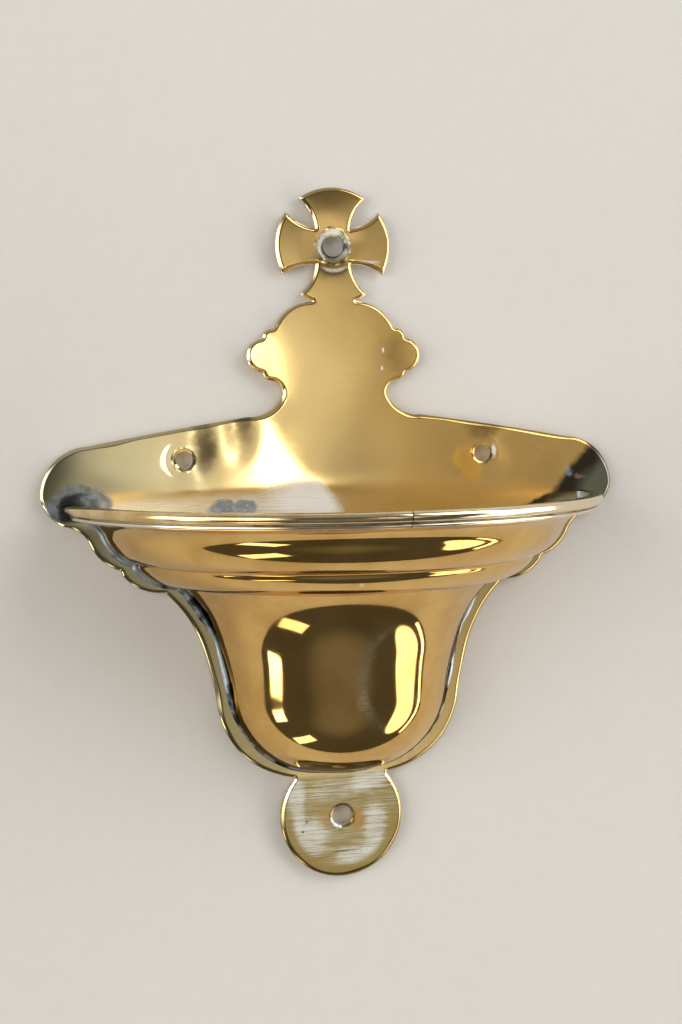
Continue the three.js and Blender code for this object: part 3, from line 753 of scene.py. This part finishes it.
# %% Layers on the back
def back_layers(f, spot, rear, cloud, fine):
    rolled = f.grain(f.stretched(spot, (3.0, 1.0, 0.10), (0, 0.03, 0)), 1.2, 4.0, 0.65)
    bloom = f.grain(f.wandering(spot, 9.0, 8.0), 13.0, 4.0, 0.6)
    brown = f.colour(f.between(cloud, 0.36, 0.64), (0.30, 0.18, 0.075, 1), (0.56, 0.39, 0.17, 1))
    brown = f.colour(0.5 * f.between(rolled, 0.42, 0.66), brown, (0.66, 0.49, 0.23, 1))
    heat = rear * f.between(bloom, 0.56, 0.68)
    verdigris = rear * f.between(bloom, 0.36, 0.30) * f.between(fine, 0.45, 0.62)
    return [(rear, brown, 0.34 + 0.16 * rolled), (heat * 0.7, (0.16, 0.085, 0.05, 1), 0.40),
            (verdigris * 0.6, (0.16, 0.24, 0.17, 1), 0.62)]


# %% [markdown]
# ## Brass of the backplate
# Under the stains the brass goes from a pale, fresh yellow on the left to a deeper gold on the right, where the
# cloth reached less often and the surface is duller. Roughness carries the haze, and a very low bump the hair
# scratches. The edges of cross and orb carry a painted highlight, a paler colour where the normal tells that the
# edge turns away from the front. The back was never polished.

# %% Plate finish
PALE = (0.88, 0.77, 0.46, 1)
YELLOW = (0.80, 0.58, 0.24, 1)
DEEP = (0.70, 0.45, 0.15, 1)


def finish_plate(plate):
    f = new_finish("polished_plate_brass", plate)
    spot = f.place()
    x, y, z = f.parts(spot)
    cloud = f.grain(spot, 24.0, 4.0, 0.6)
    fine = f.grain(spot, 2.4, 4.0, 0.6)
    hairs = f.grain(f.stretched(spot, (0.22, 1.0, 4.0), (0, 0.12, 0)), 0.8, 3.0, 0.6)
    cross_hairs = f.grain(f.stretched(spot, (0.3, 1.0, 4.0), (0, -0.9, 0)), 0.9, 3.0, 0.6)
    rear = f.between(y, -0.5, -0.1)
    facing = f.parts(f.node("ShaderNodeNewGeometry", out="Normal"))[1]
    # Painted highlight: the edges of cross and orb, where the normal turns away from the front, are painted a paler,
    # near-white brass
    painted_edge_highlight = f.between(facing, -0.92, -0.60) * f.between(facing, 0.5, 0.2) * f.between(z, 24.0, 34.0)

    colour = f.colour(f.between(x + 60 * (cloud - 0.5), -70.0, -15.0), PALE, YELLOW)
    lean = x * f.between(z, 60.0, 48.0, 0.2, 1.0)
    colour = f.colour(f.between(lean + 0.25 * z + 50 * (cloud - 0.5), -4.0, 32.0), colour, DEEP)
    brushed = 0.3 * f.between(hairs, 0.42, 0.62) * f.between(x, -12.0, 25.0)
    colour = f.colour(brushed, colour, (0.52, 0.33, 0.10, 1))
    haze = 0.022 + 0.03 * f.between(cloud, 0.42, 0.70) + (0.02 + 0.08 * f.between(x, -5.0, 20.0)) * hairs
    worked = f.between(x, -4.0, 20.0)
    haze = haze + 0.10 * f.between(x, -2.0, 24.0) + 0.10 * f.spot(spot, -36.0, 16.0, 10.0, 13.0)
    haze = haze + 0.05 * f.spot(spot, -17.0, 38.0, 16.0, 15.0)
    haze = haze + 0.05 * f.between(z, 9.0, 2.0) * f.between(z, -12.0, -6.0)
    layers = [(painted_edge_highlight * 0.7, (0.98, 0.95, 0.84, 1), 0.15)]
    layers += tab_layers(f, spot) + rim_layers(f, spot, fine) + wear_and_painted_light_layers(f, spot, fine)
    layers += cross_layers(f, spot, fine) + corner_layers(f, spot, fine) + back_layers(f, spot, rear, cloud, fine)
    metal = 1.0
    for mask, paint, dull, *chalky in layers:
        colour = f.colour(mask, colour, paint)
        haze = haze + mask * (dull - haze)
        for share in chalky:
            metal = metal - share * mask * (1 - rear)
    height = (0.0003 + 0.0010 * worked) * (hairs + cross_hairs) + 0.02 * haze * fine * haze
    f.metal(colour, metal, haze, height)
    print("plate finish of", len(f.tree.nodes), "nodes and", len(layers), "layers")


finish_plate(backplate)

# %% [markdown]
# ## Brass of the bowl
# Spinning burnishes the outside like a mirror. What breaks the mirror is small: faint rings left by the spinner's
# tool, hair scratches from the cloth, and an arc of dried polish on the bulb. The inside is duller and has a chalky
# tide mark, for water stands in it, so the inner faces get a finish of their own. Its paler yellow and the broad
# chalky band under the rim are also painted light, so that the plate mirrors a brightly lit inside.

# %% Bowl finish, outside
def finish_bowl(piece):
    f = new_finish("mirror_bowl_brass", piece)
    spot = f.place()
    _, y, z = f.parts(spot)
    away = f.far(spot, (0, AXIS, 0), (1, 1, 0))
    cloud = f.grain(spot, 16.0, 4.0, 0.6)
    hairs = f.grain(f.stretched(spot, (0.4, 0.4, 4.0), (0.2, 0.5, 0)), 0.8, 3.0, 0.6)
    rings = f.grain(f.node("ShaderNodeCombineXYZ", None, {"X": away, "Y": z, "Z": 0.0}), 0.8, 3.0, 0.6)
    arc = f.far(f.wandering(spot, 5.0, 1.6), (22.0, 0, -48.5), (1, 0, 1))
    arc = f.between(arc, 18.8, 21.2) * f.between(arc, 25.5, 21.4) * f.between(y, -10.0, -16.0)
    arc = arc * f.between(z, -65.0, -58.0) * f.between(z, -31.0, -37.0)
    arc = arc * (0.35 + 0.65 * f.between(hairs, 0.35, 0.65))
    speck = f.spot(spot, -5.0, -19.8, 0.9, 0.6)
    colour = f.colour(f.between(cloud, 0.40, 0.68), (0.76, 0.49, 0.17, 1), (0.64, 0.39, 0.12, 1))
    colour = f.colour(0.4 * arc + 0.8 * speck, colour, (0.82, 0.76, 0.62, 1))
    haze = 0.04 + 0.04 * f.between(cloud, 0.45, 0.75) + 0.03 * hairs + arc * 0.20
    height = 0.0010 * hairs + 0.0014 * rings + 0.003 * arc
    f.metal(colour, 1.0, haze, height)
    print("bowl finish of", len(f.tree.nodes), "nodes")


finish_bowl(bowl)


# %% Bowl finish, inside
def finish_inside(piece, inner_points):
    f = new_finish("water_stained_bowl_brass", piece)
    spot = f.place()
    _, _, z = f.parts(spot)
    cloud = f.grain(spot, 9.0, 5.0, 0.6)
    fine = f.grain(spot, 0.8, 4.0, 0.65)
    level = z + 3.0 * (cloud - 0.5)
    # A chalky band under the rim: partly a tide mark, partly painted light that whitens the inside which the plate
    # mirrors
    tide_mark_and_painted_light = f.between(level, -0.6, -2.4) * f.between(level, -15.0, -8.0)
    tide_mark_and_painted_light = tide_mark_and_painted_light * f.between(fine + 0.4 * cloud, 0.42, 0.72)
    stain = f.between(level, -8.0, -30.0) * f.between(cloud, 0.40, 0.62)
    # Painted light: the inside is painted a paler yellow than the outside, as if lit brightly
    colour = f.colour(f.between(cloud, 0.35, 0.65), (0.84, 0.69, 0.40, 1), (0.74, 0.55, 0.27, 1))
    colour = f.colour(stain * 0.6, colour, (0.34, 0.30, 0.17, 1))
    colour = f.colour(tide_mark_and_painted_light * 0.85, colour, (0.88, 0.86, 0.80, 1))
    haze = 0.22 + 0.14 * fine + 0.20 * tide_mark_and_painted_light + 0.10 * stain
    f.metal(colour, 1.0 - 0.6 * tide_mark_and_painted_light, haze, 0.006 * fine + 0.03 * tide_mark_and_painted_light)
    for face in piece.data.polygons:
        face.material_index = int(max(face.vertices) < inner_points)
    print("inside finish on", sum(face.material_index for face in piece.data.polygons), "faces")


finish_inside(bowl, inner_points)

# %% [markdown]
# ## Brass of the moulding
# The drawn strip keeps fine lines along its length from the draw plate, and the cloth leaves dark polish in the
# groove between bead and reed. Its right end is painted paler as a painted highlight, and silvery patches along the
# reed are partly tin and partly painted highlight.

# %% Moulding finish
def finish_moulding(*pieces):
    f = new_finish("drawn_bead_brass", *pieces)
    spot = f.place()
    x, _, z = f.parts(spot)
    cloud = f.grain(spot, 9.0, 4.0, 0.6)
    drawn = f.grain(f.stretched(spot, (0.06, 0.06, 6.0)), 1.0, 3.0, 0.6)
    fine = f.grain(spot, 0.9, 3.0, 0.6)
    groove = f.between(z, -2.55, -2.8) * f.between(z, -3.25, -3.05)
    colour = f.colour(f.between(cloud, 0.4, 0.7), (0.82, 0.64, 0.36, 1), (0.62, 0.43, 0.19, 1))
    # Painted highlight: the bead turns paler and more silvery towards its right end
    colour = f.colour(0.6 * f.between(x, -24.0, 40.0), colour, (0.85, 0.76, 0.58, 1))
    colour = f.colour(groove * (0.4 + 0.5 * fine), colour, (0.10, 0.075, 0.045, 1))
    # Silvery patches along the reed: partly tin left by the solder, partly painted highlight
    tin_and_highlight = f.between(z, -2.6, -3.0) * f.between(cloud + 0.3 * drawn, 0.50, 0.72)
    colour = f.colour(tin_and_highlight * 0.75, colour, (0.80, 0.77, 0.68, 1))
    haze = 0.08 + 0.06 * f.between(cloud, 0.45, 0.7) + 0.07 * drawn + groove * 0.3
    f.metal(colour, 1.0, haze, 0.006 * drawn + 0.002 * fine)
    print("moulding finish of", len(f.tree.nodes), "nodes")


finish_moulding(bead_left, bead_right)

# %% [markdown]
# ## Solder
# Old soft solder is grey, dull and lumpy, nearly black where flux and polish have gathered in the corner.

# %% Solder finish
def finish_solder(*pieces):
    f = new_finish("old_soft_solder", *pieces)
    spot = f.place()
    cloud = f.grain(spot, 6.0, 3.0, 0.5)
    fine = f.grain(spot, 0.8, 4.0, 0.6)
    colour = f.colour(f.between(cloud, 0.46, 0.62), (0.36, 0.41, 0.46, 1), (0.022, 0.023, 0.026, 1))
    f.metal(colour, 0.9, 0.26 + 0.2 * fine, 0.02 * fine + 0.10 * cloud)
    print("solder finish of", len(f.tree.nodes), "nodes")


finish_solder(fillet_outside, fillet_inside)

# %% [markdown]
# ## The ground behind the stoup
# The stoup lies flat against a plain pale ground. It is one large sheet just behind the plate. Seen from behind
# it lets the view through, so that the back of the plate can be looked at too; Backfacing in the Geometry node
# tells the two sides apart, and very short rays pass as well, so that the back of the plate is not left in the dark.

# %% Pale ground
GROUND, GROUND_Y, SHORT_RAY = 12.0, 0.0009, 0.004
ground_mesh = bpy.data.meshes.new("pale_ground")
corners = [(x * GROUND, GROUND_Y, z * GROUND) for x, z in ((-1, -1), (1, -1), (1, 1), (-1, 1))]
ground_mesh.from_pydata(corners, [], [(0, 1, 2, 3)])
ground = bpy.data.objects.new("pale_ground", ground_mesh)
bpy.context.scene.collection.objects.link(ground)

f = new_finish("pale_paper", ground)
paper_grain = f.grain(f.node("ShaderNodeTexCoord", out="Object"), 0.004, 3.0, 0.6)
paper = f.colour(paper_grain, (0.78, 0.75, 0.71, 1), (0.74, 0.71, 0.67, 1))
paper = f.node("ShaderNodeBsdfPrincipled", None,
               {"Base Color": paper, "Roughness": 1.0, "Specular IOR Level": 0.0})
behind = f.node("ShaderNodeNewGeometry", out="Backfacing")
length = f.node("ShaderNodeLightPath", out="Ray Length")
short = f.node("ShaderNodeMath", {"operation": "LESS_THAN"}, {0: length, 1: SHORT_RAY})
clear = f.node("ShaderNodeMath", {"operation": "MAXIMUM"}, {0: behind, 1: short})
sheet = f.node("ShaderNodeMixShader", None, {0: clear, 1: paper, 2: f.node("ShaderNodeBsdfTransparent")})
f.node("ShaderNodeOutputMaterial", None, {"Surface": sheet})
print("ground laid", GROUND_Y / MM, "mm behind the plate")

# %% [markdown]
# ## Light
# Polished metal is lit by what it mirrors, so the room is drawn as the stoup sees it: a dim grey with soft glows in
# front for the flat plate, a slanting pane for the white flare on its left, and windows to the sides for the round
# bulb. Panels of lamps could stand there instead, but close to the ground they leave hot spots on it; directions
# written into the world leave none. One large soft lamp gives the shadow. A view from behind gets a plain grey
# backdrop, and the back of the plate mirrors that grey too.

# %% Directions in the room
world = bpy.data.worlds.new("room")
bpy.context.scene.world = world
world.use_nodes = True
f = Finish(world.node_tree)
look = f.node("ShaderNodeTexCoord", out="Generated")


def toward(turn, lift):
    turn, lift = math.radians(turn), math.radians(lift)
    return Vector((math.sin(turn) * math.cos(lift), -math.cos(turn) * math.cos(lift), math.sin(lift)))


def along(aim):
    return f.node("ShaderNodeVectorMath", {"operation": "DOT_PRODUCT"}, {0: look, 1: aim}, out="Value")


def ahead_of(turn, lift, inner, outer):
    """1 within inner degrees of a direction in front of the stoup, 0 beyond outer degrees."""
    return f.between(along(toward(turn, lift)), math.cos(math.radians(outer)), math.cos(math.radians(inner)))


def window(turn, lift, wide, tall, lean, oval):
    """1 inside a window in a direction, its sizes as shares of its distance."""
    aim, lean = toward(turn, lift), math.radians(lean)
    level = toward(turn + 90, 0)
    upright = aim.cross(level)
    reach = along(aim)
    across = along(level * math.cos(lean) + upright * math.sin(lean)) / reach * (2 / wide)
    rise = along(upright * math.cos(lean) - level * math.sin(lean)) / reach * (2 / tall)
    if oval:
        far = across * across + rise * rise
    else:
        far = f.node("ShaderNodeMath", {"operation": "MAXIMUM"}, {0: across * across, 1: rise * rise})
    return f.between(far, 1.12, 0.90) * f.between(reach, 0.4, 0.5)


# %% Room
# Glows: strength, turn, lift, full within and gone beyond so many degrees
GLOWS = [(0.38, 18, -2, 7, 18), (0.36, 8, -1, 3, 9), (-0.36, 15.8, -2.6, 0.8, 4.0), (0.14, 14, 3.5, 2, 6),
         (-0.20, 13, 9.5, 1, 5), (0.72, 13, -16, 4, 10), (0.24, 20.3, -2.5, 0.5, 3), (0.12, -5, -34, 0, 34)]
# Windows: strength, turn, lift, width, height, lean, and whether they are oval
WINDOWS = [(4.5, 9.5, 1.9, 0.022, 0.052, 16, False), (5.5, -75.5, -31.1, 0.204, 0.19, 0, False),
           (2.5, -66.9, -62.1, 0.30, 0.156, 0, False), (2.8, 67, -29.6, 0.37, 0.786, 0, True),
           (5.0, 85.8, -28.1, 0.041, 0.65, 0, False)]
DIM, SKY, SIDES, FLARE, BACKDROP = 0.09, 0.28, 3.4, 4.0, 0.45
# The flare's pane is laid out by where the plate mirrors it, in millimetres, to an eye at this place before the plate
EYE_ACROSS, EYE_UP, EYE_FAR = -101.2, 26.0, 440.4

side, depth, up = f.parts(look)
room = DIM
for strength, *where in GLOWS:
    room = room + strength * ahead_of(*where)
room = room + SKY * f.between(up, 0.15, 0.75)
level_band = f.between(up, -0.38, -0.22) * f.between(up, 0.6, 0.3)
room = room + SIDES * level_band * (f.between(side, -0.45, -0.70) + f.between(side, 0.72, 0.90))
across, rise = EYE_FAR * side / (0 - depth) + EYE_ACROSS, EYE_FAR * up / (0 - depth) + EYE_UP
slant = 0.797 * (across + 14.8) + 0.604 * (rise - 16.3)
pane = f.between(slant, 0.6, -0.6) * f.between(across, -30.0, -21.0) * f.between(depth, -0.8, -0.9)
room = room + FLARE * pane * f.between(rise, 34.0, 22.0) * f.between(rise, -10.0, -2.0)
for strength, *where in WINDOWS:
    room = room + strength * window(*where)

# %% Backdrop for views from behind
camera_ray, glossy_ray, clear_ray = [f.node("ShaderNodeLightPath", out=kind)
                                     for kind in ("Is Camera Ray", "Is Glossy Ray", "Is Transmission Ray")]
seen = camera_ray + clear_ray + glossy_ray * f.between(depth, 0.0, 0.2)
room = room + seen * (BACKDROP - room)
tint = f.colour(f.between(up, -0.4, 0.5), (1.0, 0.95, 0.86, 1), (0.95, 0.98, 1.0, 1))
glow = f.node("ShaderNodeBackground", None, {"Color": tint, "Strength": room})
f.node("ShaderNodeOutputWorld", None, {"Surface": glow})
print("room with", len(GLOWS), "glows and", len(WINDOWS), "windows")

# %% Lamp
MIDDLE, LAMP_AT, LAMP_SIZE, LAMP_WATTS = Vector((0, 0, -0.02)), Vector((1.9, -1.7, 1.6)), 2.0, 36
lamp = bpy.data.lights.new("overhead", "AREA")
lamp.shape, lamp.size, lamp.size_y, lamp.energy = "RECTANGLE", LAMP_SIZE, LAMP_SIZE, LAMP_WATTS
overhead = bpy.data.objects.new("overhead", lamp)
bpy.context.scene.collection.objects.link(overhead)
overhead.location = LAMP_AT
overhead.rotation_euler = (MIDDLE - LAMP_AT).to_track_quat("-Z", "Y").to_euler()
print("lamp", round((MIDDLE - LAMP_AT).length, 2), "m away")

# %% Finish
bpy.context.scene.view_settings.view_transform = "Standard"
